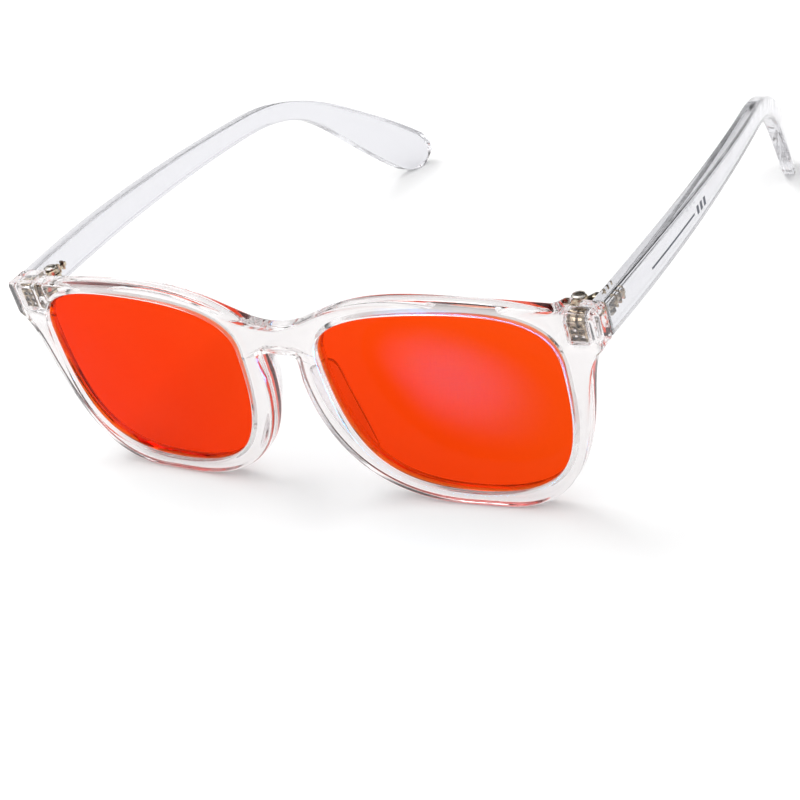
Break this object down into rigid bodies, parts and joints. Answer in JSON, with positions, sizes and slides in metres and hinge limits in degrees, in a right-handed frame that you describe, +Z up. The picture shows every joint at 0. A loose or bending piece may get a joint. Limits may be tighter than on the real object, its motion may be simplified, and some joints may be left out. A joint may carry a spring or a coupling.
{
  "type": "blue light glasses",
  "caption": "Clear full-rim glasses with orange blue-light lenses, moulded saddle bridge, clear nose pads and temples that fold on metal hinges.",
  "frame": {"origin": "centre of the glasses' box in X and Y, on the level that the rims and temple tips stand on", "axes": "+X towards the wearer's left, +Y back along the open temples, +Z up"},
  "size_m": [0.1406, 0.1372, 0.0462],
  "materials": {
    "clear_frame_plastic": "polished clear moulded plastic with a faint pink tint",
    "clear_pad_plastic": "polished clear moulded plastic",
    "clear_temple_plastic": "polished clear moulded plastic with a faint lavender tint",
    "orange_lens": "polished orange-red filter lens with an anti-reflection coat",
    "hinge_metal": "stamped nickel silver",
    "screw_steel": "turned stainless steel"
  },
  "bodies": {
    "front": {"front_frame": "clear_frame_plastic", "lens_left": "orange_lens", "lens_right": "orange_lens", "nose_pad_left": "clear_pad_plastic", "nose_pad_right": "clear_pad_plastic", "hinge_front_left": "hinge_metal", "hinge_front_right": "hinge_metal", "hinge_screw_left": "screw_steel", "hinge_screw_right": "screw_steel"},
    "left_temple": {"temple_left": "clear_temple_plastic", "hinge_temple_left": "hinge_metal"},
    "right_temple": {"temple_right": "clear_temple_plastic", "hinge_temple_right": "hinge_metal"}
  },
  "joints": [
    {"name": "temple_fold_left", "type": "hinge", "parent": "front", "child": "left_temple", "pos_m": [0.0632, -0.05733, 0.0396], "axis": [0, 0, 1], "range_deg": [0, 84]},
    {"name": "temple_fold_right", "type": "hinge", "parent": "front", "child": "right_temple", "pos_m": [-0.0632, -0.05733, 0.0396], "axis": [0, 0, -1], "range_deg": [0, 78]}
  ]
}
